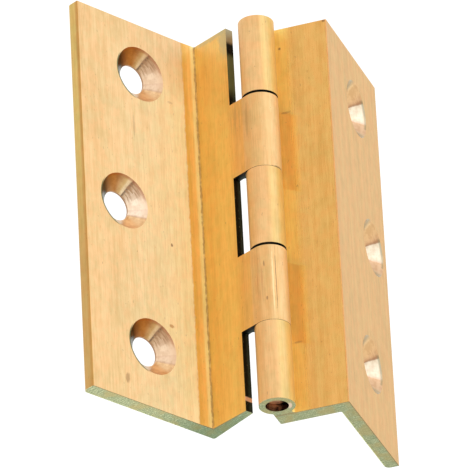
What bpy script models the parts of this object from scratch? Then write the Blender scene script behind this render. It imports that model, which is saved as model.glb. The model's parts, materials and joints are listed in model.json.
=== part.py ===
"""Cranked butt hinge in drawn brass: two nesting L-shaped leaves that turn on one pin.

Each leaf is one length of drawn section, with the knuckles of the other leaf milled out of it.
Both sections are drawn in one leaf frame, which the two leaves share when the hinge is shut:
X runs from the pin axis out to the plate, Y runs along the plate, and Z is the pin axis.
The outer leaf lies turned half round, with its plate towards -X. The inner leaf is swung open
from there about the pin, past flat. The origin is under the middle of the opened hinge.
"""

import math

import bmesh
import bpy
from mathutils import Vector

MM = 0.001

# Hinge as a whole
HEIGHT = 63.5 * MM
LEAF_WIDTH = 25.4 * MM
OPENING_DEG = 208.4
KNUCKLE_COUNT = 5

# Knuckles and pin
KNUCKLE_RADIUS = 2.65 * MM
PIN_RADIUS = 1.65 * MM
PIN_CLEARANCE = 0.05 * MM
PIN_RECESS = 1.0 * MM
PIN_CHAMFER = 0.3 * MM
SEAT_GAP = 0.05 * MM
END_PLAY = 0.4 * MM
SLOT_CLEARANCE = 1.1 * MM
KNUCKLE_FILLET = 0.5 * MM

# Gaps between the two leaves when the hinge is shut
FLANGE_GAP = 0.35 * MM
PLATE_GAP = 0.95 * MM

# Inner leaf
INNER_REACH = 9.9 * MM
INNER_OVERHANG = 1.4 * MM
INNER_FLANGE = 2.6 * MM
INNER_PLATE = 2.05 * MM

# Outer leaf, whose flange thins from the bend towards the knuckles
OUTER_FLANGE_ROOT = 2.3 * MM
OUTER_FLANGE_TIP = 1.35 * MM
OUTER_PLATE = 2.3 * MM
RAMP_WIDTH = 2.7 * MM
RAMP_RISE = 0.12 * MM

# Rounding that the drawing die leaves along the section
ARRIS = 0.12 * MM
CORNER_FILLET = 0.15 * MM
BEND_ROUND = 0.3 * MM
BACK_ROUND = 0.8 * MM

# Countersunk screw holes: two end holes and a middle one set further out
HOLES = 3
SCREW_RADIUS = 2.3 * MM
RIM_RADIUS = 4.4 * MM
COUNTERSINK_DEG = 94.0
OUTER_HOLE_PITCH = 22.6 * MM
OUTER_HOLE_RISE = 0.85 * MM
INNER_HOLE_PITCH = 21.4 * MM
INNER_HOLE_RISE = 1.55 * MM

# Where the hole rows lie, as shares of a plate's width, counted from its flange's front
OUTER_HOLE_LINE = 0.477
INNER_HOLE_LINE = 0.5535
MIDDLE_STAGGER = 0.186

# Facets of the round forms, and how far a cutter runs past what it cuts
KNUCKLE_STEP_DEG = 5.0
ARC_STEPS = 4
ROUND_STEPS = 8
ROUND_SEGMENTS = 48
OVERCUT = 1.0 * MM
WELD = 0.001 * MM
SMOOTH_DEG = 30.0

# Sizes that follow from the ones above
KNUCKLE_PITCH = HEIGHT / KNUCKLE_COUNT
BORE_RADIUS = PIN_RADIUS + PIN_CLEARANCE
SLOT_END = KNUCKLE_RADIUS + SLOT_CLEARANCE
OUTER_REACH = INNER_REACH + PLATE_GAP
INNER_FRONT = KNUCKLE_RADIUS + FLANGE_GAP
OUTER_TURN = math.pi
INNER_TURN = OUTER_TURN + math.radians(OPENING_DEG)


def arc(centre, radius, start, end, steps):
    """Points on an arc about a centre from one angle to another, both ends included."""
    angles = [start + (end - start) * step / steps for step in range(steps + 1)]
    return [centre + radius * Vector((math.cos(angle), math.sin(angle))) for angle in angles]


def short_arc(centre, first, last, steps):
    """Points on the arc about a centre that leads the short way from first to last."""
    start = math.atan2(*(first - centre).yx)
    sweep = math.remainder(math.atan2(*(last - centre).yx) - start, math.tau)
    return arc(centre, (first - centre).length, start, start + sweep, steps)


def rounded_run(start, corners, end):
    """A run of outline through corners given as (x, y, radius, steps), each one rounded."""
    places = [start] + [Vector(corner[:2]) for corner in corners] + [end]
    run = []
    for number, (_, _, radius, steps) in enumerate(corners, start=1):
        corner = places[number]
        back = (places[number - 1] - corner).normalized()
        onward = (places[number + 1] - corner).normalized()
        half = back.angle(onward) / 2
        centre = corner + (back + onward).normalized() * radius / math.sin(half)
        setback = radius / math.tan(half)
        run += short_arc(centre, corner + back * setback, corner + onward * setback, steps)
    return run


def knuckle_fillet(start, toward, free_side):
    """The fillet that leads from a flange face, met from its start, onto the knuckle's round."""
    reach = KNUCKLE_RADIUS + KNUCKLE_FILLET
    offset = start + free_side * KNUCKLE_FILLET
    along = -offset.dot(toward)
    travel = along - math.sqrt(along ** 2 - offset.length_squared + reach ** 2)
    centre = offset + toward * travel
    on_face = centre - free_side * KNUCKLE_FILLET
    on_knuckle = centre * (KNUCKLE_RADIUS / reach)
    return short_arc(centre, on_face, on_knuckle, ARC_STEPS)


def knuckle_round(first, last):
    """The knuckle's round from one point of it clockwise to another."""
    start = math.atan2(first.y, first.x)
    end = math.atan2(last.y, last.x)
    while end >= start:
        end -= math.tau
    steps = round(math.degrees(start - end) / KNUCKLE_STEP_DEG)
    return arc(Vector((0, 0)), KNUCKLE_RADIUS, start, end, steps)[1:]


def outer_section():
    """Section of the outer leaf: its flange's front face is tangent to the knuckle."""
    back = OUTER_REACH + OUTER_PLATE
    bend = Vector((back, KNUCKLE_RADIUS - OUTER_FLANGE_ROOT))
    tip = Vector((SLOT_END, KNUCKLE_RADIUS - OUTER_FLANGE_TIP))
    toward_knuckle = (tip - bend).normalized()
    fillet = knuckle_fillet(bend, toward_knuckle, Vector((-toward_knuckle.y, toward_knuckle.x)))
    crown = Vector((0, KNUCKLE_RADIUS))
    run = rounded_run(
        crown,
        [
            (OUTER_REACH - RAMP_RISE, KNUCKLE_RADIUS, CORNER_FILLET, ARC_STEPS),
            (OUTER_REACH, KNUCKLE_RADIUS + RAMP_WIDTH, ARRIS, 1),
            (OUTER_REACH, LEAF_WIDTH, ARRIS, ARC_STEPS),
            (back, LEAF_WIDTH, BACK_ROUND, ROUND_STEPS),
            (*bend, BEND_ROUND, ARC_STEPS),
        ],
        fillet[0],
    )
    return run + fillet + knuckle_round(fillet[-1], crown)


def inner_section():
    """Section of the inner leaf: a web joins its knuckle to the flange, which overhangs it."""
    rear = INNER_FRONT + INNER_FLANGE
    back = INNER_REACH - INNER_PLATE
    root = Vector((-INNER_OVERHANG, math.sqrt(KNUCKLE_RADIUS ** 2 - INNER_OVERHANG ** 2)))
    ridge = Vector((INNER_REACH, INNER_FRONT))
    fillet = knuckle_fillet(ridge, Vector((-1, 0)), Vector((0, -1)))
    run = rounded_run(
        root,
        [
            (-INNER_OVERHANG, rear, ARRIS, ARC_STEPS),
            (back, rear, CORNER_FILLET, ARC_STEPS),
            (back, LEAF_WIDTH, BACK_ROUND, ROUND_STEPS),
            (INNER_REACH, LEAF_WIDTH, ARRIS, ARC_STEPS),
            (*ridge, ARRIS, ARC_STEPS),
        ],
        fillet[0],
    )
    return run + fillet + knuckle_round(fillet[-1], root)


def pin_axis_place():
    """Where the pin axis stands, with the opened hinge's outline centred on the origin."""
    xs = []
    ys = []
    for section, turn in ((outer_section(), OUTER_TURN), (inner_section(), INNER_TURN)):
        xs += [point.x * math.cos(turn) - point.y * math.sin(turn) for point in section]
        ys += [point.x * math.sin(turn) + point.y * math.cos(turn) for point in section]
    return (-(min(xs) + max(xs)) / 2, -(min(ys) + max(ys)) / 2, 0)


def make_material(name, color, roughness):
    """A plain metal finish."""
    material = bpy.data.materials.new(name)
    material.use_nodes = True
    shader = material.node_tree.nodes["Principled BSDF"]
    shader.inputs["Base Color"].default_value = (*color, 1)
    shader.inputs["Metallic"].default_value = 1.0
    shader.inputs["Roughness"].default_value = roughness
    return material


def make_collection(name):
    """A collection of the scene."""
    collection = bpy.data.collections.new(name)
    bpy.context.scene.collection.children.link(collection)
    return collection


def make_frame(name, place, turn, collection, parent=None):
    """An empty on the pin axis, whose turn about it places a leaf."""
    frame = bpy.data.objects.new(name, None)
    frame.location = place
    frame.rotation_euler.z = turn
    frame.parent = parent
    collection.objects.link(frame)
    return frame


def drawn_length(name, section, frame, collection, material):
    """One length of a drawn section, standing on the base plane."""
    curve = bpy.data.curves.new(name, "CURVE")
    curve.dimensions = "2D"
    curve.fill_mode = "BOTH"
    curve.extrude = HEIGHT / 2
    spline = curve.splines.new("POLY")
    spline.points.add(len(section) - 1)
    for knot, point in zip(spline.points, section):
        knot.co = (point.x, point.y, 0, 1)
    spline.use_cyclic_u = True
    outline = bpy.data.objects.new(name + "_outline", curve)
    outline.location.z = HEIGHT / 2
    collection.objects.link(outline)

    evaluated = outline.evaluated_get(bpy.context.evaluated_depsgraph_get())
    mesh = bpy.data.meshes.new_from_object(evaluated)
    body = bmesh.new()
    body.from_mesh(mesh)
    bmesh.ops.remove_doubles(body, verts=body.verts, dist=WELD)
    bmesh.ops.recalc_face_normals(body, faces=body.faces)
    body.to_mesh(mesh)
    body.free()
    mesh.materials.clear()
    mesh.materials.append(material)
    mesh.shade_smooth()
    mesh.set_sharp_from_angle(angle=math.radians(SMOOTH_DEG))

    piece = bpy.data.objects.new(name, mesh)
    piece.matrix_world = outline.matrix_world
    bpy.data.objects.remove(outline)
    piece.parent = frame
    collection.objects.link(piece)
    return piece


def add_cutter(piece, name, mesh, collection):
    """A cutter in the piece's own leaf frame, with the Boolean that takes it away."""
    cutter = bpy.data.objects.new(name, mesh)
    cutter.parent = piece.parent
    cutter.display_type = "WIRE"
    cutter.hide_render = True
    collection.objects.link(cutter)
    cut = piece.modifiers.new(name, "BOOLEAN")
    cut.operation = "DIFFERENCE"
    cut.solver = "EXACT"
    cut.object = cutter
    return cutter


def box_mesh(name, low, high):
    """A box between two opposite corners."""
    low = Vector(low)
    high = Vector(high)
    body = bmesh.new()
    bmesh.ops.create_cube(body, size=1.0)
    bmesh.ops.scale(body, vec=high - low, verts=body.verts)
    bmesh.ops.translate(body, vec=(high + low) / 2, verts=body.verts)
    mesh = bpy.data.meshes.new(name)
    body.to_mesh(mesh)
    body.free()
    return mesh


def rod_mesh(name, radius, bottom, top):
    """A round rod on the pin axis between two heights."""
    body = bmesh.new()
    bmesh.ops.create_cone(
        body, cap_ends=True, segments=ROUND_SEGMENTS, radius1=radius, radius2=radius, depth=top - bottom
    )
    bmesh.ops.translate(body, vec=(0, 0, (top + bottom) / 2), verts=body.verts)
    mesh = bpy.data.meshes.new(name)
    body.to_mesh(mesh)
    body.free()
    mesh.shade_smooth()
    mesh.set_sharp_from_angle(angle=math.radians(SMOOTH_DEG))
    return mesh


def screw_profile(name, plate):
    """Half outline of a countersunk hole, from outside the face down through the plate."""
    slope = math.tan(math.radians(COUNTERSINK_DEG / 2))
    cone_depth = (RIM_RADIUS - SCREW_RADIUS) / slope
    outline = [
        (0, OVERCUT),
        (RIM_RADIUS + OVERCUT * slope, OVERCUT),
        (SCREW_RADIUS, -cone_depth),
        (SCREW_RADIUS, -plate - OVERCUT),
        (0, -plate - OVERCUT),
    ]
    mesh = bpy.data.meshes.new(name)
    edges = [(number, number + 1) for number in range(len(outline) - 1)]
    mesh.from_pydata([(radius, 0, height) for radius, height in outline], edges, [])
    return mesh


def drill_holes(leaf, collection, face, facing, plate, front, line, pitch, rise):
    """The row of countersunk holes through a leaf's plate, sunk into the face that faces along X."""
    profile = screw_profile(leaf.name + "_screw_hole", plate)
    middle = (HOLES - 1) / 2
    for number in range(HOLES):
        cutter = add_cutter(leaf, f"{leaf.name}_screw_hole_{number + 1}", profile, collection)
        share = line + (MIDDLE_STAGGER if number == middle else 0)
        along = front + share * (LEAF_WIDTH - front)
        cutter.location = (face, along, HEIGHT / 2 + rise + (number - middle) * pitch)
        cutter.rotation_euler.y = facing * math.pi / 2
        turn = cutter.modifiers.new("Turn", "SCREW")
        turn.steps = ROUND_SEGMENTS
        turn.render_steps = ROUND_SEGMENTS
        turn.use_merge_vertices = True
        turn.merge_threshold = WELD


def even_shading(leaf):
    """Keep the flat faces flat in the shading, beside the edges that the cutters leave."""
    even = leaf.modifiers.new("Even shading", "WEIGHTED_NORMAL")
    even.keep_sharp = True


def make_outer_leaf(frame, parts, cutters, brass):
    """The outer leaf: flange slotted right through at every odd knuckle, which the other leaf has."""
    leaf = drawn_length("outer_leaf", outer_section(), frame, parts, brass)
    side = KNUCKLE_RADIUS + OVERCUT
    for number in range(0, KNUCKLE_COUNT, 2):
        bottom = number * KNUCKLE_PITCH - (END_PLAY if number else OVERCUT)
        last = number == KNUCKLE_COUNT - 1
        top = (number + 1) * KNUCKLE_PITCH + (OVERCUT if last else SEAT_GAP)
        name = f"outer_slot_{number + 1}"
        slot = box_mesh(name, (-side, -side, bottom), (SLOT_END, side, top))
        add_cutter(leaf, name, slot, cutters)
    bore = rod_mesh("outer_bore", BORE_RADIUS, -OVERCUT, HEIGHT + OVERCUT)
    add_cutter(leaf, "outer_bore", bore, cutters)
    drill_holes(
        leaf,
        cutters,
        OUTER_REACH,
        -1,
        OUTER_PLATE,
        KNUCKLE_RADIUS,
        OUTER_HOLE_LINE,
        OUTER_HOLE_PITCH,
        OUTER_HOLE_RISE,
    )
    even_shading(leaf)
    return leaf


def make_inner_leaf(frame, parts, cutters, brass):
    """The inner leaf: knuckle and web milled off level with the flange at every even knuckle."""
    leaf = drawn_length("inner_leaf", inner_section(), frame, parts, brass)
    side = KNUCKLE_RADIUS + OVERCUT
    for number in range(1, KNUCKLE_COUNT, 2):
        bottom = number * KNUCKLE_PITCH
        name = f"inner_slot_{number + 1}"
        slot = box_mesh(name, (-side, -side, bottom), (side, INNER_FRONT, bottom + KNUCKLE_PITCH))
        add_cutter(leaf, name, slot, cutters)
    bore = rod_mesh("inner_bore", BORE_RADIUS, -OVERCUT, HEIGHT + OVERCUT)
    add_cutter(leaf, "inner_bore", bore, cutters)
    drill_holes(
        leaf,
        cutters,
        INNER_REACH,
        1,
        INNER_PLATE,
        INNER_FRONT,
        INNER_HOLE_LINE,
        INNER_HOLE_PITCH,
        INNER_HOLE_RISE,
    )
    even_shading(leaf)
    return leaf


def make_pin(frame, parts, steel):
    """The pin, sunk a little into the bore at both ends, with its end edges broken."""
    mesh = rod_mesh("hinge_pin", PIN_RADIUS, PIN_RECESS, HEIGHT - PIN_RECESS)
    mesh.materials.append(steel)
    pin = bpy.data.objects.new("hinge_pin", mesh)
    pin.parent = frame
    parts.objects.link(pin)
    chamfer = pin.modifiers.new("Chamfer", "BEVEL")
    chamfer.width = PIN_CHAMFER
    chamfer.segments = 2
    chamfer.limit_method = "ANGLE"
    chamfer.angle_limit = math.radians(60)
    return pin


def main():
    """Build the hinge in an empty scene."""
    for leftover in list(bpy.data.objects):
        bpy.data.objects.remove(leftover)
    parts = make_collection("cranked_butt_hinge")
    cutters = make_collection("cutters")
    brass = make_material("drawn_brass", (0.90, 0.58, 0.28), 0.40)
    pin_metal = make_material("dark_pin", (0.24, 0.13, 0.09), 0.45)

    pin_axis = make_frame("pin_axis", pin_axis_place(), 0, parts)
    outer_frame = make_frame("outer_leaf_frame", (0, 0, 0), OUTER_TURN, parts, pin_axis)
    inner_frame = make_frame("inner_leaf_frame", (0, 0, 0), INNER_TURN, parts, pin_axis)
    make_outer_leaf(outer_frame, parts, cutters, brass)
    make_inner_leaf(inner_frame, parts, cutters, brass)
    make_pin(inner_frame, parts, pin_metal)
    bpy.context.view_layer.update()


if __name__ == "__main__":
    main()
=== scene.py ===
"""Looks of the cranked butt hinge: dressed leaves and pin, brass finishes, stage and camera."""

from __future__ import annotations

import json
import logging
import math
from dataclasses import dataclass
from enum import Enum

import bpy
from mathutils import Matrix, Vector

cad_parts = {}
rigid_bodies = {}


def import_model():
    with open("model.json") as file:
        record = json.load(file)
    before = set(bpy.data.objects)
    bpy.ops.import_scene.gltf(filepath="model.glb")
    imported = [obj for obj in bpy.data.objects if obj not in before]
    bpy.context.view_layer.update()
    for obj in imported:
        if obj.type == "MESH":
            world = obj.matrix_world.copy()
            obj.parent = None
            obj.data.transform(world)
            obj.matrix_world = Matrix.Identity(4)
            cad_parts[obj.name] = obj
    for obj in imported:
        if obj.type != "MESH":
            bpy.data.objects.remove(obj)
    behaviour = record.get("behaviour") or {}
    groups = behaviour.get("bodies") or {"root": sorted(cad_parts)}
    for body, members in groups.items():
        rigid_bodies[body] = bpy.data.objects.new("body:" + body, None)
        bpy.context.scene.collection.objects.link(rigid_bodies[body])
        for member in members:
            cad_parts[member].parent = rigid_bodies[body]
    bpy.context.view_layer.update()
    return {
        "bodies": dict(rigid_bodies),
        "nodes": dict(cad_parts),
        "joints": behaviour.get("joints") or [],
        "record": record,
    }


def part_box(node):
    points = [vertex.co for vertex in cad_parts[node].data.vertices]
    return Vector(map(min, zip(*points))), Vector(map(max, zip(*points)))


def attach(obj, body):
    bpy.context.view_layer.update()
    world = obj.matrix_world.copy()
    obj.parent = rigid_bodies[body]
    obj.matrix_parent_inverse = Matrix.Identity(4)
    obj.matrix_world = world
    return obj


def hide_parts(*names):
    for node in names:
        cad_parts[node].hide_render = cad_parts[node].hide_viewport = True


LOG = logging.getLogger("cranked_hinge")

MM = 0.001
PHOTO_SIDE_PX = 470
SENSOR_MM = 36.0

Object = bpy.types.Object
Material = bpy.types.Material
Socket = bpy.types.NodeSocket
Pair = tuple[float, float]
Triple = tuple[float, float, float]
Color = Triple

WHITE: Color = (1.0, 1.0, 1.0)


class Zone(Enum):
    """The differently finished surfaces of a leaf, numbered as the piece's material slots."""

    DRAWN = 0
    SAWN = 1
    MILLED = 2
    COUNTERSUNK = 3
    BORE = 4


@dataclass(frozen=True)
class LeafFrame:
    """Where a leaf's section lies: X runs out to the plate, Y along it, Z is the pin axis."""

    axis: Vector
    turn: float

    def inward(self) -> Matrix:
        """The way from the hinge's frame into the leaf frame."""
        outward = Matrix.Translation((self.axis.x, self.axis.y, 0)) @ Matrix.Rotation(self.turn, 4, "Z")
        return outward.inverted()


class Finish:
    """A material's node tree, with short ways to add nodes.

    It knows where a point lies in its leaf's frame, in millimetres: across the plate, along it, up
    the pin axis, and how far from that axis in the section. Limits of these are millimetres too.
    """

    NUMBERS = ("LENGTH", "DISTANCE", "DOT_PRODUCT")
    MIX_FIRST, MIX_SECOND, MIX_RESULT = 6, 7, 2

    def __init__(self, name: str, frame: LeafFrame) -> None:
        """Start a material whose only shader is a metal one.

        Args:
            name: The material's name.
            frame: Its leaf's frame.
        """
        self.material = bpy.data.materials.new(name)
        self.material.use_nodes = True
        self.tree = self.material.node_tree
        self.shader = self.tree.nodes["Principled BSDF"]
        self.shader.inputs["Metallic"].default_value = 1.0
        inward = frame.inward()
        mapping = {
            "Vector": self.add("TexCoord").outputs["Object"],
            "Location": inward.translation / MM,
            "Rotation": inward.to_euler(),
            "Scale": Vector((1 / MM,) * 3),
        }
        self.place = self.add("Mapping", mapping).outputs["Vector"]
        self.across, self.along, self.up = self.split(self.place)
        self.section = self.add("CombineXYZ", {"X": self.across, "Y": self.along}).outputs[0]
        self.radius = self.vector("LENGTH", self.section)

    def add(self, kind: str, inputs: dict[str, object] | None = None, **settings: object) -> bpy.types.Node:
        """Add a node.

        Args:
            kind: The node's type, without its ShaderNode prefix.
            inputs: Sockets or plain values for its inputs, by name or number.
            settings: Its other settings.

        Returns:
            The node.
        """
        node = self.tree.nodes.new("ShaderNode" + kind)
        for name, value in settings.items():
            setattr(node, name, value)
        for name, value in (inputs or {}).items():
            self.feed(node.inputs[name], value)
        return node

    def feed(self, target: Socket, value: object) -> None:
        """Join a socket to an input, or set the input's own value.

        Args:
            target: The input.
            value: A socket or a plain value.
        """
        if isinstance(value, Socket):
            self.tree.links.new(value, target)
        elif target.type == "RGBA":
            target.default_value = (*value, 1.0)
        else:
            target.default_value = value

    def metal(self, color: Socket, roughness: object, normal: Socket) -> Material:
        """Join the finish to the metal shader.

        Args:
            color: Its colour.
            roughness: Its roughness, a socket or a plain value.
            normal: Its bent normal.

        Returns:
            The material.
        """
        for name, value in (("Base Color", color), ("Roughness", roughness), ("Normal", normal)):
            self.feed(self.shader.inputs[name], value)
        return self.material

    def math(self, operation: str, first: object, second: object = 0.0, third: object = 0.0) -> Socket:
        """Add a math node.

        Args:
            operation: The operation's name.
            first: Its first value.
            second: Its second value.
            third: Its third value.

        Returns:
            The result.
        """
        return self.add("Math", {0: first, 1: second, 2: third}, operation=operation).outputs[0]

    def vector(self, operation: str, first: object, second: object = (0.0, 0.0, 0.0)) -> Socket:
        """Add a vector math node.

        Args:
            operation: The operation's name.
            first: Its first vector.
            second: Its second vector.

        Returns:
            The result, a number for the operations that give one.
        """
        outputs = self.add("VectorMath", {0: first, 1: second}, operation=operation).outputs
        return outputs["Value" if operation in self.NUMBERS else "Vector"]

    def split(self, vector: Socket) -> tuple[Socket, Socket, Socket]:
        """The three parts of a vector."""
        parts = self.add("SeparateXYZ", {"Vector": vector}).outputs
        return parts[0], parts[1], parts[2]

    def off(self, value: Socket, middle: float) -> Socket:
        """How far a value lies from a middle one, either way."""
        return self.math("ABSOLUTE", self.math("SUBTRACT", value, middle))

    def fray(self, value: Socket, noise: Socket, reach: float) -> Socket:
        """Push a value up and down by a noise.

        Args:
            value: The value.
            noise: The noise, about one half.
            reach: How far the noise's full range moves it.

        Returns:
            The frayed value.
        """
        return self.math("MULTIPLY_ADD", noise, reach, self.math("SUBTRACT", value, reach / 2))

    def blend(self, share: object, first: object, second: object, mode: str = "MIX") -> Socket:
        """Mix two colours.

        Args:
            share: How much of the second, from 0 to 1.
            first: The first colour.
            second: The second colour.
            mode: The blend's name.

        Returns:
            The mixed colour.
        """
        node = self.add("Mix", {"Factor": share}, data_type="RGBA", blend_type=mode)
        self.feed(node.inputs[self.MIX_FIRST], first)
        self.feed(node.inputs[self.MIX_SECOND], second)
        return node.outputs[self.MIX_RESULT]

    def spread(
        self, value: object, low: float, high: float, to_low: float = 0.0, to_high: float = 1.0
    ) -> Socket:
        """Carry a value from one range to another, held at both ends.

        Args:
            value: The value.
            low: Start of its range.
            high: End of its range.
            to_low: Result at the start.
            to_high: Result at the end.

        Returns:
            The result.
        """
        ranges = {"Value": value, "From Min": low, "From Max": high, "To Min": to_low, "To Max": to_high}
        return self.add("MapRange", ranges, clamp=True, interpolation_type="SMOOTHSTEP").outputs["Result"]

    def noise(
        self, scale: Triple, detail: float = 3.0, harshness: float = 0.6, place: Socket | None = None
    ) -> Socket:
        """Noise over a place.

        Args:
            scale: How many times a millimetre it changes, along each axis.
            detail: Octaves.
            harshness: Weight of the finer octaves.
            place: The place, or else the point's own in the leaf frame.

        Returns:
            A value about one half.
        """
        stretched = self.vector("MULTIPLY", place or self.place, scale)
        inputs = {"Vector": stretched, "Scale": 1.0, "Detail": detail, "Roughness": harshness}
        return self.add("TexNoise", inputs).outputs["Fac"]

    def bump(
        self, height: Socket, depth: float, strength: object = 1.0, under: Socket | None = None
    ) -> Socket:
        """A bump from a height.

        Args:
            height: The height, from 0 to 1.
            depth: What 1 stands for, in metres.
            strength: How much of it counts, a socket or a plain value.
            under: A bump that this one lies on.

        Returns:
            The bent normal.
        """
        inputs = {"Height": height, "Distance": depth, "Strength": strength}
        if under is not None:
            inputs["Normal"] = under
        return self.add("Bump", inputs).outputs["Normal"]


@dataclass(frozen=True)
class Mark:
    """A small pit, scratch, stain, painted highlight or painted reflection edge at a place in the leaf
    frame, in millimetres.
    """

    place: Triple
    reach: Triple
    strength: float = 0.75
    color: Color = (0.22, 0.10, 0.04)
    streaky: bool = False


@dataclass(frozen=True)
class LeafTones:
    """How the brass of one leaf is toned from surface to surface, and where its section bends.

    Lengths are in millimetres in the leaf frame. A gap is the stretch of the flange, between two
    heights, that faces a knuckle of the other leaf; a painted reflection of that knuckle lies on it.
    The plate's lit root and shaded top, the flange's root and fillet, the ramp's shade and highlight
    and the knuckles' highlight and lit side are painted light and shade.
    """

    front: float
    face: float
    into: float
    plate: Color
    plate_lit_root: Color
    flange: Color
    flange_root_shading: Color
    fillet: Color
    knuckle: Color
    knuckle_highlight: Color
    knuckle_lit_side: Color
    flange_roughness: float = 0.42
    gaps: tuple[Pair, ...] = ()
    gap_reflection_root: Color = (1.0, 0.62, 0.14)
    gap: Color = (0.80, 0.42, 0.09)
    highlight_at: Pair = (0.7, 1.6)
    lit_side_at: Pair = (1.95, 2.4)
    edge: Color = (0.65, 0.45, 0.15)
    edge_low: Color = (0.57, 0.35, 0.12)
    edge_line: Color = (0.55, 0.30, 0.09)
    corner_line: Color = (0.42, 0.23, 0.06)
    corner: Pair = (0.14, 0.34)
    corner_share: float = 0.85
    strip: Pair | None = None
    strip_border: Color = (0.84, 0.50, 0.12)
    strip_shaded: Color = (0.96, 0.585, 0.17)
    strip_highlight: Color = (1.0, 0.83, 0.385)
    plate_shaded_top: Color = (0.83, 0.565, 0.295)
    end_corner: Color = WHITE
    end_tip: Color = WHITE


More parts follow.
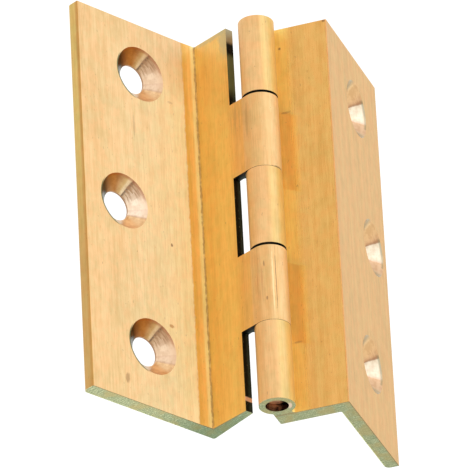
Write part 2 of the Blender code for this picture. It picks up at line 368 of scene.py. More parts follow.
class DrawnBrass(Finish):
    """Satin drawn brass, with a grain along the pin axis, faint streaks, small marks and painted light and
    shade.
    """

    roughness: float = 0.42
    knuckle_roughness: float = 0.48
    roughness_play: float = 0.14
    matte: float = 0.55
    fillet_matte: float = 0.8
    grain_depth: float = 0.006 * MM
    wave_depth: float = 0.02 * MM
    width: float = 25.4
    lit_side_deg: float = 20.0
    lip_toward: Triple = (0.0, 0.93, -0.37)
    lip_offset: float = 0.08
    knuckle_edge: Pair = (3.0, 2.75)
    edge_rise: Pair = (15.0, 45.0)
    plate_fade: Pair = (5.5, 24.0)
    top_fade: Pair = (36.0, 58.0)
    thin: Color = (0.90, 0.86, 0.78)
    full: Color = (1.04, 1.06, 1.10)
    warm: Color = (1.03, 0.985, 0.93)
    cool: Color = (0.985, 1.01, 0.96)
    dulled: Color = (0.88, 0.91, 0.88)
    grime: Color = (0.22, 0.10, 0.04)
    lip_shadow: Color = (0.14, 0.15, 0.07)

    def build(self, leaf: Leaf, height: float) -> Material:
        """Make the finish for one leaf.

        Args:
            leaf: The leaf.
            height: Its height.

        Returns:
            The material.
        """
        tones, holes = leaf.tones, leaf.holes
        grain = self.noise((6.0, 6.0, 0.22), detail=4.0)
        streaks = self.noise((1.1, 1.1, 0.03))
        mottle = self.noise((0.9, 0.9, 0.6), detail=4.0)
        pits = self.noise((3.2, 3.2, 1.4), detail=2.0, harshness=0.5)
        color = self.tone(leaf, pits)
        depth = self.math("MULTIPLY_ADD", grain, 0.45, self.math("MULTIPLY", streaks, 0.3))
        depth = self.math("MULTIPLY_ADD", mottle, 0.25, depth)
        shade = self.blend(self.spread(depth, 0.38, 0.62), self.thin, self.full)
        color = self.blend(1.0, color, shade, "MULTIPLY")
        hue = self.blend(self.spread(self.noise((0.6, 0.6, 0.45)), 0.40, 0.60), self.warm, self.cool)
        color = self.blend(1.0, color, hue, "MULTIPLY")
        patches = self.noise((0.32, 0.32, 0.2))
        color = self.blend(self.spread(patches, 0.50, 0.66, 0.0, 0.5), color, self.dulled, "MULTIPLY")
        color = self.blend(self.spread(pits, 0.70, 0.76, 0.0, 0.35), color, self.grime)
        tears = self.noise((3.4, 3.4, 0.16), harshness=0.65)
        # Marks: pits, scratches and stains, with a few painted highlights and painted reflection edges among
        # them.
        for mark in leaf.marks:
            color = self.lay_mark(tears if mark.streaky else pits, mark, color)
        # Painted shade along the countersinks' rims on the free edge's side.
        for along, up in holes.centres(height) if holes.shaded_lip else ():
            lip_shadow = self.shaded_lip(holes, Vector((holes.face, along, up)) / MM)
            color = self.blend(lip_shadow, color, self.lip_shadow)
        self.feed(self.shader.inputs["Metallic"], self.sheen(tones))
        bend = (tones.front + 0.02, tones.front + 0.15)
        rough = self.spread(self.along, *bend, tones.flange_roughness, self.roughness)
        rough = self.math("MAXIMUM", rough, self.spread(self.radius, 3.6, 6.0, self.knuckle_roughness, 0.0))
        rough = self.fray(rough, grain, self.roughness_play)
        rubbed = self.spread(self.radius, 3.2, 6.0, 0.35, 1.0)
        waves = self.bump(streaks, self.wave_depth)
        return self.metal(color, rough, self.bump(grain, self.grain_depth, rubbed, waves))

    def sheen(self, tones: LeafTones) -> Socket:
        """How metallic the surface stays: knuckles and inner corners are duller than the open plate.

        Args:
            tones: Where the leaf's section bends.

        Returns:
            The share.
        """
        fillet = self.spread(self.radius, 2.7, 3.0, 1.0, self.fillet_matte / self.matte)
        dull = self.math("MULTIPLY", self.spread(self.radius, 5.6, 3.2), fillet)
        if tones.strip is not None:
            corner = self.vector("DISTANCE", self.section, (tones.face, tones.front, 0.0))
            near = self.math("MULTIPLY", self.spread(corner, 20.0, 4.0), self.inner_side(tones))
            dull = self.math("MAXIMUM", dull, near)
        return self.math("MULTIPLY_ADD", dull, -self.matte, 1.0)

    def inner_side(self, tones: LeafTones) -> Socket:
        """Share of the surfaces before the plate's back, which fades within the plate."""
        return self.spread(self.across, tones.face + 0.9, tones.face + 0.6)

    def shaded_lip(self, holes: ScrewHoles, middle: Vector) -> Socket:
        """The painted shade along a countersink's rim, on the side of the leaf's free edge.

        Args:
            holes: The row that the countersink belongs to.
            middle: The countersink's middle, in millimetres.

        Returns:
            How much of the line shows.
        """
        offset = self.vector("MULTIPLY", self.vector("SUBTRACT", self.place, middle), (0.0, 1.0, 1.0))
        away = self.off(self.vector("LENGTH", offset), holes.rim / MM + self.lip_offset)
        toward = self.vector("DOT_PRODUCT", offset, self.lip_toward)
        line = self.math("MULTIPLY", self.spread(away, 0.15, 0.05), self.spread(toward, 2.2, 3.6))
        return self.math("MULTIPLY", line, self.spread(self.across, middle.x + 0.5, middle.x + 0.3))

    def tone(self, leaf: Leaf, pits: Socket) -> Socket:
        """Colour of the bare brass from surface to surface, with painted light and shade in places.

        Args:
            leaf: The leaf.
            pits: Noise that frays the borders.

        Returns:
            The colour.
        """
        tones = leaf.tones
        plate = self.plate_tone(tones, pits)
        flanged = self.spread(self.along, tones.front + 0.12, tones.front + 0.04)
        if tones.strip is not None:
            front_side = self.spread(self.along, tones.front - 0.9, tones.front - 0.5)
            inside = self.math("MINIMUM", self.inner_side(tones), front_side)
            plate = self.blend(inside, tones.plate, plate)
            flanged = self.math("MINIMUM", flanged, inside)
        color = self.blend(flanged, plate, self.flange_tone(tones, pits))
        corner = self.vector("DISTANCE", self.section, (tones.face, tones.front, 0.0))
        line = self.spread(self.fray(corner, pits, 0.4), *tones.corner, tones.corner_share, 0.0)
        color = self.blend(line, color, tones.corner_line)
        # Painted light on the knuckles: a painted highlight band and a lighter painted lit side, set by the
        # light's direction.
        lit = math.radians(self.lit_side_deg) - leaf.frame.turn
        toward = self.vector("DOT_PRODUCT", self.section, (math.cos(lit), math.sin(lit), 0.0))
        knuckle = self.blend(self.spread(toward, *tones.highlight_at), tones.knuckle, tones.knuckle_highlight)
        knuckle = self.blend(self.spread(toward, *tones.lit_side_at), knuckle, tones.knuckle_lit_side)
        color = self.blend(self.spread(self.radius, *self.knuckle_edge), color, knuckle)
        edge = self.blend(self.spread(self.up, *self.edge_rise), tones.edge_low, tones.edge)
        inward = self.spread(self.off(self.across, tones.face), 0.3, 0.7)
        edge = self.blend(inward, tones.edge_line, edge)
        return self.blend(self.spread(self.along, self.width - 0.14, self.width - 0.06), color, edge)

    def plate_tone(self, tones: LeafTones, pits: Socket) -> Socket:
        """Colour of the plate with painted light, and the ramp beside the bend where the leaf has one.

        Args:
            tones: The leaf's colours.
            pits: Noise that frays the borders.

        Returns:
            The colour.
        """
        # Painted light: the plate is paler towards the bend, and darker towards the top where the leaf has a
        # ramp.
        outward = self.spread(self.along, *self.plate_fade)
        if tones.strip is None:
            return self.blend(outward, tones.plate_lit_root, tones.plate)
        shade = self.math("MAXIMUM", outward, self.spread(self.up, 50.0, 62.0))
        upper = self.blend(self.spread(self.up, *self.top_fade), tones.plate, tones.plate_shaded_top)
        plate = self.blend(shade, tones.plate_lit_root, upper)
        # The ramp beside the bend: an orange border band, painted shade over the ramp, a painted highlight
        # along the bend and a thin darker line on the border.
        frayed = self.fray(self.along, pits, 0.5)
        pale, border = tones.strip
        plate = self.blend(self.spread(frayed, border + 0.12, border - 0.12), plate, tones.strip_border)
        plate = self.blend(self.spread(frayed, border - 0.5, border - 1.0), plate, tones.strip_shaded)
        plate = self.blend(self.spread(self.along, pale + 0.35, pale - 0.25), plate, tones.strip_highlight)
        border_line = self.spread(self.off(frayed, border + 0.05), 0.03, 0.12, 0.25, 0.0)
        return self.blend(border_line, plate, tones.edge_line)

    def flange_tone(self, tones: LeafTones, pits: Socket) -> Socket:
        """Colour of the flange, with painted light brighter in the fillets and a darker painted reflection
        where it faces the other leaf's knuckles.

        Args:
            tones: The leaf's colours.
            pits: Noise that frays the borders.

        Returns:
            The colour.
        """
        # Painted light and shade near the knuckles: the fillet and the flange's root are toned apart from
        # the rest of the flange.
        root = self.blend(self.spread(self.radius, 3.05, 3.5), tones.fillet, tones.flange_root_shading)
        flange = self.blend(self.spread(self.radius, 3.6, 5.6), root, tones.flange)
        # Painted reflection of the other leaf's knuckles, slanted like their mirror image in the flange.
        slanted = self.math("MULTIPLY_ADD", self.across, 0.45, self.math("SUBTRACT", self.up, 0.9))
        slanted = self.fray(slanted, pits, 0.5)
        near = self.spread(self.fray(self.radius, pits, 0.6), 5.8, 4.8)
        reflected = self.blend(self.spread(self.radius, 3.5, 4.5), tones.gap_reflection_root, tones.gap)
        for low, high in tones.gaps:
            above = self.spread(slanted, low - 0.15, low + 0.15)
            below = self.spread(slanted, high + 0.15, high - 0.15)
            inside = self.math("MULTIPLY", self.math("MULTIPLY", above, below), near)
            flange = self.blend(inside, flange, reflected)
        return flange

    def lay_mark(self, noise: Socket, mark: Mark, color: Socket) -> Socket:
        """Lay one mark over a colour.

        Args:
            noise: Noise that frays the mark.
            mark: The mark.
            color: The colour under it.

        Returns:
            The colour with the mark.
        """
        offset = self.vector("SUBTRACT", self.place, mark.place)
        distance = self.vector("LENGTH", self.vector("DIVIDE", offset, mark.reach))
        if mark.streaky:
            streak = self.math("MULTIPLY", self.spread(distance, 1.0, 0.3), self.spread(noise, 0.46, 0.60))
            return self.blend(self.math("MULTIPLY", streak, mark.strength), color, mark.color)
        share = self.spread(self.fray(distance, noise, 0.8), 0.5, 1.1, mark.strength, 0.0)
        return self.blend(share, color, mark.color)


class SawnBrass(Finish):
    """The rough ends that the saw leaves: sage green, speckled and scored, with a pale burr behind."""

    dull: Color = (0.29, 0.335, 0.18)
    pale: Color = (0.68, 0.72, 0.45)
    straw: Color = (0.52, 0.43, 0.18)
    burr: Color = (0.95, 0.98, 0.50)
    line: Color = (0.32, 0.18, 0.07)
    ring_highlight: Color = (0.95, 0.72, 0.55)
    ring_highlight_at: Triple = (1.9, 0.63, 0.0)
    roughness: float = 0.6
    score_depth: float = 0.03 * MM

    def build(self, leaf: Leaf) -> Material:
        """Make the finish for one leaf's ends.

        Args:
            leaf: The leaf.

        Returns:
            The material.
        """
        tones, back = leaf.tones, leaf.thickness
        scores = self.noise((0.8, 7.0, 0.5), harshness=0.65)
        speckle = self.noise((5.0, 5.0, 5.0), harshness=0.7)
        tone = self.math("MULTIPLY_ADD", speckle, 0.6, self.math("MULTIPLY", scores, 0.4))
        color = self.blend(self.spread(tone, 0.42, 0.64), self.dull, self.pale)
        patches = self.noise((0.35, 0.35, 0.35), detail=2.0, harshness=0.5)
        color = self.blend(self.spread(patches, 0.42, 0.62, 0.0, 0.6), color, self.straw)
        depth = self.math("MULTIPLY", self.math("SUBTRACT", self.across, tones.face), tones.into)
        outer = self.math("SUBTRACT", self.along, tones.front)
        from_corner = self.math("MAXIMUM", self.along, self.math("SUBTRACT", tones.face, self.across))
        fade = self.blend(self.spread(from_corner, 2.0, 14.0), tones.end_corner, tones.end_tip)
        color = self.blend(1.0, color, fade, "MULTIPLY")
        behind = self.spread(depth, back + 0.03, back + 0.06, 0.85, 0.0)
        behind = self.math("MULTIPLY", behind, self.spread(outer, back + 0.6, back + 0.9))
        flecks = self.spread(self.fray(depth, speckle, 1.2), back - 0.15, back + 0.05)
        color = self.blend(self.math("MULTIPLY", flecks, behind), color, self.burr)
        arris = self.spread(self.to_arris(depth, outer, tones), 0.08, 0.22, 0.6, 0.0)
        color = self.blend(arris, color, self.line)
        # Painted highlight on the inner right of the knuckle's end ring.
        highlight = self.spread(self.vector("DISTANCE", self.section, self.ring_highlight_at), 1.1, 0.5, 0.0, 0.8)
        highlight = self.math("MULTIPLY", highlight, self.spread(self.radius, 2.25, 2.05))
        color = self.blend(highlight, color, self.ring_highlight)
        return self.metal(color, self.roughness, self.bump(tone, self.score_depth))

    def to_arris(self, depth: Socket, outer: Socket, tones: LeafTones) -> Socket:
        """How far a point of the end lies from the leaf's two front surfaces.

        Args:
            depth: How far it lies behind the plate's face.
            outer: How far it lies beyond the flange's front.
            tones: Which way the leaf bends.

        Returns:
            The distance in millimetres.
        """
        if tones.into < 0:
            return self.math("MINIMUM", self.math("ABSOLUTE", depth), self.math("ABSOLUTE", outer))
        behind_face = self.math("MAXIMUM", depth, 0.0)
        behind_front = self.math("MAXIMUM", self.math("MULTIPLY", outer, -1.0), 0.0)
        both = self.add("CombineXYZ", {"X": behind_face, "Y": behind_front}).outputs[0]
        return self.vector("LENGTH", both)


class MilledBrass(Finish):
    """Walls of the slots in near-black painted shade, greener and speckled towards the back."""

    dark: Color = (0.012, 0.012, 0.008)
    green: Color = (0.038, 0.058, 0.052)
    olive: Color = (0.19, 0.235, 0.125)
    scrape: Color = (0.42, 0.36, 0.22)
    rosy: Color = (0.95, 0.66, 0.52)
    burr_height: float = 2.0
    roughness: float = 0.55
    score_depth: float = 0.03 * MM

    def build(self, leaf: Leaf) -> Material:
        """Make the finish for one leaf's slots.

        Args:
            leaf: The leaf.

        Returns:
            The material.
        """
        front = leaf.tones.front
        scores = self.noise((3.0, 3.0, 1.5), detail=4.0, harshness=0.7)
        frayed = self.fray(self.along, scores, 0.8)
        # Painted shade in the slots: near black, greener towards the back, and near black again high up.
        color = self.blend(self.spread(frayed, front - 0.5, front - 1.0), self.dark, self.green)
        color = self.blend(self.spread(self.up, 51.5, 54.0, 0.0, 0.85), color, self.olive)
        color = self.blend(self.spread(self.up, 58.4, 59.7), color, self.dark)
        color = self.blend(self.spread(self.up, 60.8, 61.6), color, self.scrape)
        burr = self.spread(self.off(self.up, self.burr_height), 0.25, 0.45, 0.95, 0.0)
        color = self.blend(burr, color, self.rosy)
        color = self.blend(self.spread(scores, 0.62, 0.72, 0.0, 0.8), color, self.scrape)
        return self.metal(color, self.roughness, self.bump(scores, self.score_depth))


@dataclass(frozen=True)
class Sector:
    """A part of a countersink painted with the light it catches, from one angle about the hole on."""

    start_deg: float
    color: Color


class TurnedBrass(Finish):
    """Cut brass of the countersinks: sectors of painted light and shade, radial chatter, fine rings and a
    dark edge inside.
    """

    chatter: Color = (0.46, 0.25, 0.13)
    bright: Color = (1.06, 1.08, 1.10)
    deep: Color = (0.93, 0.89, 0.86)
    land: Color = (0.42, 0.24, 0.13)
    roughness: float = 0.3
    ring_depth: float = 0.01 * MM
    chatter_fade: float = 0.6
    rim_fade: float = 0.2
    start_fade: float = 0.05

    def build(self, leaf: Leaf, height: float) -> Material:
        """Make the finish from the piece's own turned attribute, with painted light paling the middle hole.

        Args:
            leaf: The leaf.
            height: Its height.

        Returns:
            The material.
        """
        holes = leaf.holes
        around = self.add("Attribute", attribute_name="turned").outputs["Vector"]
        cosine, sine, depth = self.split(around)
        chatter = self.noise((6.0, 6.0, 0.5), place=around)
        rings = self.noise((0.4, 0.4, 9.0), detail=2.0, harshness=0.5, place=around)
        angle = self.fray(self.math("ARCTAN2", sine, cosine), chatter, 0.12)
        ramp = self.add("ValToRGB", {"Fac": self.math("MULTIPLY_ADD", angle, 1 / math.tau, 0.5)})
        stops = ramp.color_ramp.elements
        # Painted light and shade of the cone, sector by sector about the hole.
        for number, sector in enumerate(holes.sectors):
            position = sector.start_deg / 360 + 0.5
            stop = stops[number] if number < 2 else stops.new(position)
            stop.position = position
            stop.color = (*sector.color, 1.0)
        cloud = self.spread(self.noise((2.4, 2.4, 1.6), place=around), 0.40, 0.60)
        shade = self.blend(cloud, self.deep, self.bright)
        color = self.blend(1.0, ramp.outputs["Color"], shade, "MULTIPLY")
        # Painted light paling the middle hole.
        off_middle = self.off(self.up, (height / 2 + holes.rise) / MM)
        lit_middle = self.math("MULTIPLY", self.spread(off_middle, 8.0, 6.0), self.spread(sine, -0.42, -0.30))
        color = self.blend(lit_middle, color, holes.lit_middle, "MULTIPLY")
        ticks = self.noise((1.3, 1.3, 4.2), place=around)
        torn = self.spread(ticks, 0.46, 0.58, 0.0, holes.chatter_share)
        torn = self.math("MULTIPLY", torn, self.band(angle, holes.chatter_deg, self.chatter_fade))
        color = self.blend(torn, color, self.chatter)
        for noise, low in ((chatter, 0.58), (rings, 0.56)):
            color = self.blend(self.spread(noise, low, low + 0.12, 0.0, 0.15), color, self.chatter)
        inside = self.math("ABSOLUTE", depth)
        color = self.blend(self.spread(inside, 1.0, 0.0), color, holes.rim_shade, "MULTIPLY")
        outermost = self.spread(inside, 0.34, 0.12, 0.0, 0.6)
        outermost = self.math("MULTIPLY", outermost, self.band(angle, holes.rim_deg, self.rim_fade))
        color = self.blend(outermost, color, holes.rim_color)
        throat = holes.throat / MM
        color = self.blend(self.spread(inside, throat - 0.03, throat + 0.03), color, self.land)
        normal = self.bump(self.math("ADD", chatter, rings), self.ring_depth)
        return self.metal(color, self.roughness, normal)

    def band(self, angle: Socket, limits_deg: Pair, fade: float) -> Socket:
        """Share of a stretch of angles that starts sharply and fades out.

        Args:
            angle: Angle about the hole.
            limits_deg: Where the stretch starts and ends, in degrees.
            fade: How far it takes to fade out, in radians.

        Returns:
            The share.
        """
        first, last = (math.radians(limit) for limit in limits_deg)
        started = self.spread(angle, first - self.start_fade, first + self.start_fade)
        return self.math("MULTIPLY", started, self.spread(angle, last, last - fade))


class ShadedMetal(Finish):
    """The pin and the walls of the bore, in near-black painted shadow with a reddish painted glint."""

    dark: Color = (0.05, 0.02, 0.015)
    glint: Color = (0.60, 0.35, 0.21)
    glint_at: Triple = (-0.65, 0.75, 0.0)
    roughness: float = 0.34
    dent_depth: float = 0.04 * MM

    def build(self) -> Material:
        """Make the finish.

        Returns:
            The material.
        """
        blotch = self.noise((1.6, 1.6, 1.2))
        # Painted glint, reddish, to one side of the pin's end, over the painted shadow.
        offset = self.vector("DISTANCE", self.section, self.glint_at)
        glint = self.spread(self.fray(offset, blotch, 1.6), 1.35, 0.7)
        color = self.blend(glint, self.dark, self.glint)
        return self.metal(color, self.roughness, self.bump(blotch, self.dent_depth))


def pick_only(piece: Object) -> None:
    """Make one object the only selected one, and the active one.

    Args:
        piece: The object.
    """
    bpy.ops.object.select_all(action="DESELECT")
    piece.select_set(True)
    bpy.context.view_layer.objects.active = piece


@dataclass
class ScrewHoles:
    """The row of countersunk holes through a plate, in metres in the leaf frame."""

    face: float
    line: float
    stagger: float
    pitch: float
    rise: float
    sectors: tuple[Sector, ...]
    chatter_deg: Pair
    rim_deg: Pair
    rim_color: Color
    chatter_share: float
    shaded_lip: bool
    rim_shade: Color = WHITE
    lit_middle: Color = WHITE
    rim: float = 4.4 * MM
    throat: float = 2.04 * MM

    def centres(self, height: float) -> list[Pair]:
        """Where the holes lie along the plate and up the leaf.

        Args:
            height: The leaf's height.

        Returns:
            Each hole's distance along the plate and its height.
        """
        middle = height / 2 + self.rise
        return [
            (self.line, middle - self.pitch),
            (self.line + self.stagger, middle),
            (self.line, middle + self.pitch),
        ]


@dataclass
class Leaf:
    """A dressed leaf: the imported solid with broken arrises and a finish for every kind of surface.

    The last three are limits for the part of a face's normal along an axis.
    """

    node: str
    body: str
    frame: LeafFrame
    holes: ScrewHoles
    tones: LeafTones
    marks: tuple[Mark, ...]
    thickness: float
    slot_end: float | None = None
    crown: float | None = None
    knuckle: float = 2.65 * MM
    arris: float = 0.07 * MM
    arris_steps: int = 3
    sharp_deg: float = 35.0
    crown_steps: int = 5
    flat_deg: float = 0.4
    weld: float = 0.001 * MM
    bore_reach: float = 1.8 * MM
    straight: float = 0.9
    plate_like: float = 0.85
    end_like: float = 0.5

    def build(self, node: Object) -> Object:
        """Make the leaf and put it in place of its solid.

        Args:
            node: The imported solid.

        Returns:
            The dressed leaf.
        """
        piece = bpy.data.objects.new(self.node + "_dressed", node.data.copy())
        bpy.context.scene.collection.objects.link(piece)
        self.break_arrises(piece)
        self.dress(piece)
        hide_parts(self.node)
        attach(piece, self.body)
        return piece

    def break_arrises(self, piece: Object) -> None:
        """Join the solid's loose triangles into whole faces and round every sharp edge a little.

        Args:
            piece: The copy of the solid.
        """
        pick_only(piece)
        bpy.ops.object.mode_set(mode="EDIT")
        bpy.ops.mesh.select_mode(type="VERT")
        bpy.ops.mesh.select_all(action="SELECT")
        bpy.ops.mesh.remove_doubles(threshold=self.weld)
        bpy.ops.mesh.dissolve_limited(angle_limit=math.radians(self.flat_deg))
        if self.crown is not None:
            self.pick_crown(piece)
            bpy.ops.mesh.bevel(
                offset=self.crown, segments=self.crown_steps, profile=0.5, clamp_overlap=True
            )
        bpy.ops.mesh.select_mode(type="EDGE")
        bpy.ops.mesh.select_all(action="DESELECT")
        bpy.ops.mesh.edges_select_sharp(sharpness=math.radians(self.sharp_deg))
        bpy.ops.mesh.bevel(offset=self.arris, segments=self.arris_steps, profile=0.5, clamp_overlap=True)
        bpy.ops.mesh.select_all(action="DESELECT")
        bpy.ops.object.mode_set(mode="OBJECT")
        bpy.ops.object.shade_smooth_by_angle(angle=math.radians(self.sharp_deg))
        even = piece.modifiers.new("Even", "WEIGHTED_NORMAL")
        even.keep_sharp = True
        bpy.ops.object.modifier_apply(modifier=even.name)

    def pick_crown(self, piece: Object) -> None:
        """Select the top edge of the knuckle's round, and nothing else.

        Args:
            piece: The leaf, in edit mode.
        """
        bpy.ops.mesh.select_mode(type="EDGE")
        bpy.ops.mesh.select_all(action="DESELECT")
        bpy.ops.object.mode_set(mode="OBJECT")
        mesh = piece.data
        inward = self.frame.inward()
        top = max(vertex.co.z for vertex in mesh.vertices)
        round_top = set()
        for vertex in mesh.vertices:
            place = inward @ vertex.co
            if top - place.z < self.weld and abs(math.hypot(place.x, place.y) - self.knuckle) < self.arris:
                round_top.add(vertex.index)
        for edge in mesh.edges:
            edge.select = all(index in round_top for index in edge.vertices)
        bpy.ops.object.mode_set(mode="EDIT")

    def zone(self, place: Vector, facing: Vector, height: float) -> Zone:
        """Tell which kind of surface a face belongs to.

        Args:
            place: The face's middle in the leaf frame.
            facing: Its normal in the leaf frame.
            height: The leaf's height.

        Returns:
            The kind of surface.
        """
        if math.hypot(place.x, place.y) < self.bore_reach and abs(facing.z) < self.end_like:
            return Zone.BORE
        for along, up in self.holes.centres(height):
            near = math.hypot(place.y - along, place.z - up) < self.holes.rim + self.arris
            if near and abs(facing.x) < self.plate_like:
                return Zone.COUNTERSUNK
        if abs(facing.z) > self.straight:
            outside = min(place.z, height - place.z) < self.arris
            return Zone.SAWN if outside else Zone.MILLED
        slotted = self.slot_end is not None and abs(place.x - self.slot_end) < self.arris
        return Zone.MILLED if slotted and facing.x < -self.straight else Zone.DRAWN

    def dress(self, piece: Object) -> None:
        """Give every face its finish, and the countersunk walls their turned coordinates.

        Args:
            piece: The leaf.
        """
        mesh = piece.data
        mesh.materials.clear()
        height = max(vertex.co.z for vertex in mesh.vertices)
        finishes = {
            Zone.DRAWN: DrawnBrass(f"{self.node}_drawn", self.frame).build(self, height),
            Zone.SAWN: SawnBrass(f"{self.node}_sawn", self.frame).build(self),
            Zone.MILLED: MilledBrass(f"{self.node}_milled", self.frame).build(self),
            Zone.COUNTERSUNK: TurnedBrass(f"{self.node}_countersunk", self.frame).build(self, height),
            Zone.BORE: ShadedMetal(f"{self.node}_bore", self.frame).build(),
        }
        for zone in Zone:
            mesh.materials.append(finishes[zone])
        inward = self.frame.inward()
        for face in mesh.polygons:
            place = inward @ face.center
            face.material_index = self.zone(place, inward.to_3x3() @ face.normal, height).value
        centres = self.holes.centres(height)
        turned = mesh.attributes.new("turned", "FLOAT_VECTOR", "POINT")
        for vertex, value in zip(mesh.vertices, turned.data):
            place = inward @ vertex.co
            along, up = min(centres, key=lambda spot: math.hypot(place.y - spot[0], place.z - spot[1]))
            angle = math.atan2(place.z - up, place.y - along)
            value.vector = (math.cos(angle), math.sin(angle), (place.x - self.holes.face) / MM)


@dataclass
class HingePin:
    """The pin, cropped at both ends, whose ends are a little domed and dented."""

    node: str
    body: str
    frame: LeafFrame
    sides: int = 64
    edge: float = 0.3 * MM
    edge_steps: int = 4
    dent: float = 0.25 * MM
    dent_share: float = 0.35
    dome_share: float = 0.2
    sharp_deg: float = 40.0
    tolerance: float = 0.001 * MM

    def build(self) -> Object:
        """Model the pin in place of its solid.

        Returns:
            The pin.
        """
        low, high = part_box(self.node)
        radius = (high.x - low.x) / 2
        bpy.ops.object.select_all(action="DESELECT")
        bpy.ops.mesh.primitive_cylinder_add(
            vertices=self.sides, radius=radius, depth=high.z - low.z, location=(low + high) / 2
        )
        piece = bpy.context.active_object
        piece.name = self.node + "_turned"
        bpy.ops.object.transform_apply(location=True, rotation=True, scale=True)
        bpy.ops.object.mode_set(mode="EDIT")
        bpy.ops.mesh.select_mode(type="FACE")
        for end, inward in ((low.z, 1.0), (high.z, -1.0)):
            self.pick_end(piece, end)
            bpy.ops.mesh.bevel(offset=self.edge, segments=self.edge_steps, profile=0.5)
            self.pick_end(piece, end)
            bpy.ops.mesh.inset(thickness=radius * self.dent_share, depth=0)
            bpy.ops.transform.translate(value=(0, 0, inward * self.dent))
            bpy.ops.mesh.inset(thickness=radius * self.dome_share, depth=0)
        bpy.ops.mesh.select_all(action="DESELECT")
        bpy.ops.object.mode_set(mode="OBJECT")
        bpy.ops.object.shade_smooth_by_angle(angle=math.radians(self.sharp_deg))
        piece.data.materials.append(ShadedMetal("pin_metal", self.frame).build())
        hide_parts(self.node)
        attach(piece, self.body)
        return piece

    def pick_end(self, piece: Object, height: float) -> None:
        """Select the flat faces at one height, and nothing else.

        Args:
            piece: The pin, in edit mode.
            height: The height.
        """
        bpy.ops.mesh.select_all(action="DESELECT")
        bpy.ops.object.mode_set(mode="OBJECT")
        for face in piece.data.polygons:
            face.select = abs(face.center.z - height) < self.tolerance
        bpy.ops.object.mode_set(mode="EDIT")


def direction(bearing_deg: float, elevation_deg: float) -> Vector:
    """The direction that has a bearing and a height above level, both in degrees."""
    bearing, rise = math.radians(bearing_deg), math.radians(elevation_deg)
    return Vector((math.cos(bearing) * math.cos(rise), math.sin(bearing) * math.cos(rise), math.sin(rise)))


@dataclass
class Softbox:
    """A square soft light that faces the hinge from a bearing and a height."""

    name: str = "key_softbox"
    bearing_deg: float = -3.0
    elevation_deg: float = 30.0
    distance: float = 0.8
    side: float = 0.4
    watts: float = 0.6

    def build(self, target: Vector) -> None:
        """Set up the light.

        Args:
            target: What it faces.
        """
        backward = direction(self.bearing_deg, self.elevation_deg)
        light = bpy.data.lights.new(self.name, "AREA")
        light.size = self.side
        light.energy = self.watts
        lamp = bpy.data.objects.new(self.name, light)
        lamp.location = target + backward * self.distance
        lamp.rotation_euler = backward.to_track_quat("Z", "Y").to_euler()
        lamp.visible_camera = False
        bpy.context.scene.collection.objects.link(lamp)


@dataclass
class Stage:
    """A plain pale floor far enough down for the low camera, an even white sky and one soft light."""

    floor_drop: float = 0.75
    floor_side: float = 8.0
    floor_color: Color = (0.82, 0.82, 0.80)
    floor_roughness: float = 0.9
    sky_color: Color = WHITE
    sky_strength: float = 1.12

    def build(self, target: Vector) -> None:
        """Set up floor, sky and light.

        Args:
            target: The middle of the hinge.
        """
        bpy.ops.object.select_all(action="DESELECT")
        bpy.ops.mesh.primitive_plane_add(size=self.floor_side, location=(0, 0, -self.floor_drop))
        floor = bpy.context.active_object
        floor.name = "pale_floor"
        paint = bpy.data.materials.new("pale_floor")
        paint.use_nodes = True
        shader = paint.node_tree.nodes["Principled BSDF"]
        shader.inputs["Base Color"].default_value = (*self.floor_color, 1)
        shader.inputs["Roughness"].default_value = self.floor_roughness
        floor.data.materials.append(paint)

        world = bpy.data.worlds.new("white_sky")
        world.use_nodes = True
        background = world.node_tree.nodes["Background"]
        background.inputs["Color"].default_value = (*self.sky_color, 1)
        background.inputs["Strength"].default_value = self.sky_strength
        bpy.context.scene.world = world

        Softbox().build(target)


@dataclass
class PhotoCamera:
    """The photograph's viewpoint, in front of the hinge and below it, as fitted to its corners."""

    distance: float = 1.0753
    bearing_deg: float = 136.751
    elevation_deg: float = 28.709
    roll_deg: float = 3.082
    px_per_mm: float = 6.8855
    aim_right: float = -4.539 * MM
    aim_up: float = -3.320 * MM
    clip: Pair = (0.05, 20.0)

    def build(self, middle: Vector) -> None:
        """Set up the camera.

        Args:
            middle: The middle of the pin axis.
        """
        bearing = math.radians(self.bearing_deg)
        forward = direction(self.bearing_deg, self.elevation_deg)
        level = Vector((math.sin(bearing), -math.cos(bearing), 0))
        upright = level.cross(forward)
        roll = math.radians(self.roll_deg)
        right = level * math.cos(roll) - upright * math.sin(roll)
        up = level * math.sin(roll) + upright * math.cos(roll)
        aim = middle + right * self.aim_right + up * self.aim_up

        lens = bpy.data.cameras.new("photo_camera")
        lens.sensor_width = SENSOR_MM
        lens.lens = self.px_per_mm * self.distance / MM * SENSOR_MM / PHOTO_SIDE_PX
        lens.clip_start, lens.clip_end = self.clip
        camera = bpy.data.objects.new("photo_camera", lens)
        turn = Matrix((right, up, -forward)).transposed().to_4x4()
        camera.matrix_world = Matrix.Translation(aim - forward * self.distance) @ turn
        bpy.context.scene.collection.objects.link(camera)
        bpy.context.scene.camera = camera


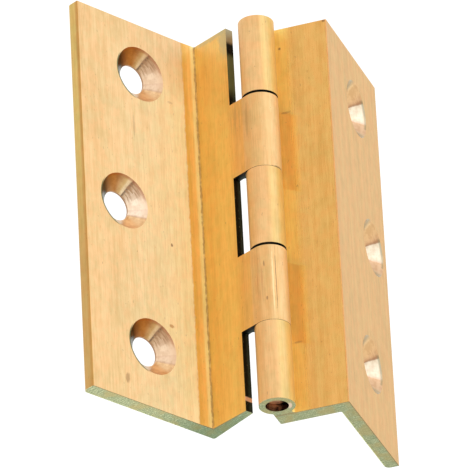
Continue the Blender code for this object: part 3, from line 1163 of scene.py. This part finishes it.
def outer_leaf(axis: Vector) -> Leaf:
    """The leaf that is countersunk inside its crank.

    Args:
        axis: The pin axis.

    Returns:
        The leaf, not built yet.
    """
    # The countersinks' painted light and shade, sector by sector.
    sectors = (
        Sector(-180, (0.80, 0.56, 0.38)), Sector(-161, (0.80, 0.58, 0.39)), Sector(-158, (0.70, 0.46, 0.30)),
        Sector(-152, (0.86, 0.58, 0.31)), Sector(-105, (0.88, 0.60, 0.31)), Sector(-70, (0.50, 0.36, 0.18)),
        Sector(-40, (0.10, 0.12, 0.06)), Sector(28, (0.06, 0.06, 0.03)), Sector(48, (0.43, 0.27, 0.14)),
        Sector(75, (0.52, 0.31, 0.155)), Sector(103, (0.62, 0.37, 0.14)), Sector(108, (0.78, 0.54, 0.28)),
        Sector(114, (0.74, 0.50, 0.28)), Sector(117, (0.13, 0.08, 0.05)), Sector(124, (0.58, 0.37, 0.21)),
        Sector(142, (0.74, 0.50, 0.32)), Sector(155, (0.84, 0.61, 0.41)),
    )
    return Leaf(
        node="outer_leaf",
        body="outer",
        frame=LeafFrame(axis, math.pi),
        holes=ScrewHoles(
            face=10.85 * MM,
            line=13.502 * MM,
            stagger=4.23 * MM,
            pitch=22.6 * MM,
            rise=0.85 * MM,
            sectors=sectors,
            chatter_deg=(114, 168),
            rim_deg=(45, 165),
            rim_color=(0.50, 0.20, 0.09),
            chatter_share=0.8,
            shaded_lip=True,
            rim_shade=(0.89, 0.81, 0.74),
            lit_middle=(1.15, 1.27, 1.42),
        ),
        tones=LeafTones(
            front=2.65,
            face=10.85,
            into=1.0,
            plate=(0.885, 0.622, 0.335),
            plate_lit_root=(1.0, 0.84, 0.52),
            flange=(0.88, 0.52, 0.125),
            flange_root_shading=(0.81, 0.41, 0.10),
            fillet=(0.81, 0.41, 0.10),
            knuckle=(0.77, 0.45, 0.175),
            knuckle_highlight=(0.81, 0.515, 0.235),
            knuckle_lit_side=(0.90, 0.60, 0.29),
            strip=(3.45, 5.1),
            end_corner=(0.68, 0.80, 0.80),
            end_tip=(1.28, 1.26, 1.30),
        ),
        marks=(
            Mark((10.85, 18.7, 3.3), (0.4, 0.5, 1.0), 0.45),
            Mark((10.85, 9.7, 14.5), (0.3, 0.55, 0.35), 0.7, (0.50, 0.24, 0.07)),
            Mark((10.85, 8.9, 28.1), (0.3, 0.25, 0.3)),
            Mark((10.85, 7.9, 52.3), (0.3, 0.6, 0.25), 0.22),
            Mark((10.85, 15.3, 46.0), (0.3, 0.25, 2.4), 0.25),
            Mark((2.7, 2.65, 47.8), (2.2, 0.6, 3.4), 0.5, (0.52, 0.29, 0.08), streaky=True),
            Mark((0.3, 2.65, 46.2), (0.3, 0.5, 3.6), 0.45, (0.50, 0.26, 0.08)),
            Mark((-0.5, 2.6, 19.5), (1.3, 0.6, 5.0), 0.45, (0.55, 0.22, 0.07), streaky=True),
            Mark((-1.3, 2.3, 22.0), (0.13, 0.4, 0.6), 0.6),
            Mark((-1.5, 2.2, 16.3), (0.13, 0.4, 0.4), 0.6),
            # Painted highlight: a pale streak along the knuckle.
            Mark((-2.2, 1.48, 19.0), (0.17, 0.17, 6.2), 0.6, (1.0, 0.80, 0.42)),
            Mark((-2.42, 1.08, 19.0), (0.07, 0.07, 6.5), 0.8),
            Mark((-2.62, -0.41, 38.1), (0.5, 1.3, 0.3), 0.75),
            Mark((3.6, 2.65, 62.6), (2.2, 0.5, 4.4), 0.65, (0.46, 0.40, 0.19)),
            Mark((7.0, 2.65, 63.5), (4.2, 0.5, 0.9), 0.55, (0.46, 0.40, 0.19)),
        ),
        thickness=2.3,
        slot_end=3.75 * MM,
    )


def inner_leaf(axis: Vector, opening: float) -> Leaf:
    """The leaf that is countersunk on its outside.

    Args:
        axis: The pin axis.
        opening: How far it is swung open from shut.

    Returns:
        The leaf, not built yet.
    """
    # The countersinks' painted light and shade, sector by sector.
    sectors = (
        Sector(-180, (0.74, 0.47, 0.21)), Sector(-78, (0.73, 0.47, 0.21)), Sector(-66, (0.42, 0.35, 0.19)),
        Sector(-50, (0.52, 0.38, 0.20)), Sector(-38, (0.68, 0.43, 0.24)), Sector(-9, (0.74, 0.48, 0.29)),
        Sector(-4, (0.90, 0.72, 0.56)), Sector(6, (0.92, 0.79, 0.61)), Sector(37, (0.92, 0.78, 0.58)),
        Sector(40, (0.46, 0.24, 0.13)), Sector(46, (0.80, 0.48, 0.25)), Sector(60, (0.85, 0.53, 0.26)),
        Sector(92, (0.82, 0.53, 0.25)), Sector(108, (0.48, 0.39, 0.21)), Sector(120, (0.50, 0.40, 0.21)),
        Sector(134, (0.74, 0.47, 0.21)),
    )
    return Leaf(
        node="inner_leaf",
        body="inner",
        frame=LeafFrame(axis, math.pi + opening),
        holes=ScrewHoles(
            face=9.9 * MM,
            line=15.398 * MM,
            stagger=4.166 * MM,
            pitch=21.4 * MM,
            rise=1.55 * MM,
            sectors=sectors,
            chatter_deg=(37, 72),
            rim_deg=(-20, 50),
            rim_color=(0.28, 0.24, 0.12),
            chatter_share=0.35,
            shaded_lip=False,
        ),
        tones=LeafTones(
            front=3.0,
            face=9.9,
            into=-1.0,
            plate=(0.72, 0.44, 0.165),
            plate_lit_root=(0.72, 0.44, 0.165),
            flange=(0.72, 0.40, 0.12),
            flange_root_shading=(1.0, 0.67, 0.17),
            fillet=(1.0, 0.80, 0.26),
            knuckle=(0.815, 0.492, 0.213),
            knuckle_highlight=(0.82, 0.57, 0.235),
            knuckle_lit_side=(0.84, 0.535, 0.165),
            highlight_at=(1.4, 2.1),
            lit_side_at=(2.3, 2.6),
            flange_roughness=0.28,
            gaps=((36.7, 49.6), (11.6, 24.4)),
            corner_line=(0.66, 0.32, 0.13),
            corner=(0.04, 0.30),
            corner_share=0.8,
        ),
        marks=(
            Mark((2.48, 3.0, 60.2), (0.2, 0.3, 0.25)),
            Mark((9.5, 3.0, 63.3), (0.3, 0.3, 0.2)),
            # Painted reflection edges: dark lines along the painted reflections of the outer leaf's
            # knuckles.
            Mark((2.8, 3.0, 49.25), (0.8, 0.3, 0.22), 0.6, (0.45, 0.22, 0.06)),
            Mark((2.7, 3.0, 11.2), (0.8, 0.3, 0.2), 0.55, (0.45, 0.22, 0.06)),
        ),
        thickness=2.05,
        crown=0.35 * MM,
    )


def main() -> None:
    """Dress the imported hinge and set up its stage."""
    logging.basicConfig(level=logging.INFO, format="%(message)s")
    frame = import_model()
    joint = frame["joints"][0]
    axis = Vector(joint["pos_m"])
    opening = math.radians(-joint["range_deg"][0])

    inner = inner_leaf(axis, opening)
    pieces = [leaf.build(frame["nodes"][leaf.node]) for leaf in (outer_leaf(axis), inner)]
    pieces.append(HingePin("hinge_pin", "inner", inner.frame).build())
    for piece in pieces:
        LOG.info("%s: %d faces", piece.name, len(piece.data.polygons))

    PhotoCamera().build(axis)
    Stage().build(axis)
    bpy.context.scene.view_settings.view_transform = "Standard"


if __name__ == "__main__":
    main()
